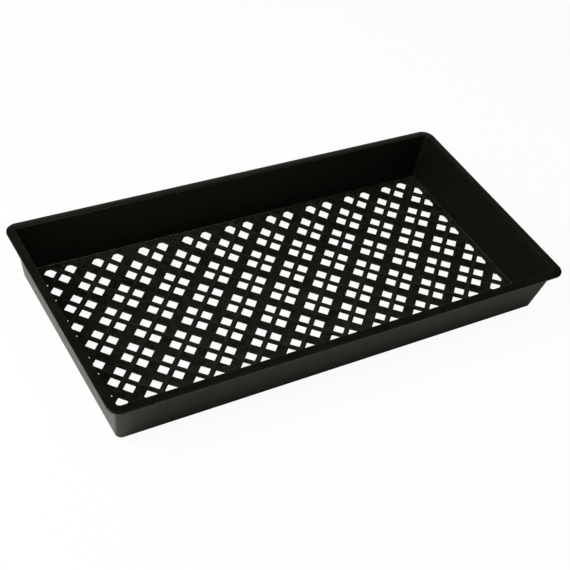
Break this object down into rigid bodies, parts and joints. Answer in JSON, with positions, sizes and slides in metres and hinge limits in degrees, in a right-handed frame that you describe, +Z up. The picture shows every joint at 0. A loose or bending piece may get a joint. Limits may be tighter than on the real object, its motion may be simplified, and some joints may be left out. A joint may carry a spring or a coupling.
{
  "type": "mesh plant tray",
  "caption": "Shallow rectangular black plastic growing tray with leaning walls, a flat turned-down rim and a diamond-hole net floor that lets water drain.",
  "frame": {"origin": "middle of the flat patch under the net floor on which the tray rests", "axes": "+X along the tray's length, +Y from its front to its back, +Z up out of its mouth"},
  "size_m": [0.542, 0.272, 0.0645],
  "materials": {
    "rim": "satin black, moulded",
    "wall": "satin black, moulded",
    "floor": "satin black, moulded"
  },
  "bodies": {
    "root": {"wall_front": "wall", "wall_right": "wall", "wall_back": "wall", "wall_left": "wall", "wall_corner_front_left": "wall", "wall_corner_front_right": "wall", "wall_corner_back_right": "wall", "wall_corner_back_left": "wall", "rim_front": "rim", "rim_right": "rim", "rim_back": "rim", "rim_left": "rim", "rim_corner_front_left": "rim", "rim_corner_front_right": "rim", "rim_corner_back_right": "rim", "rim_corner_back_left": "rim", "mesh_floor": "floor"}
  },
  "joints": []
}
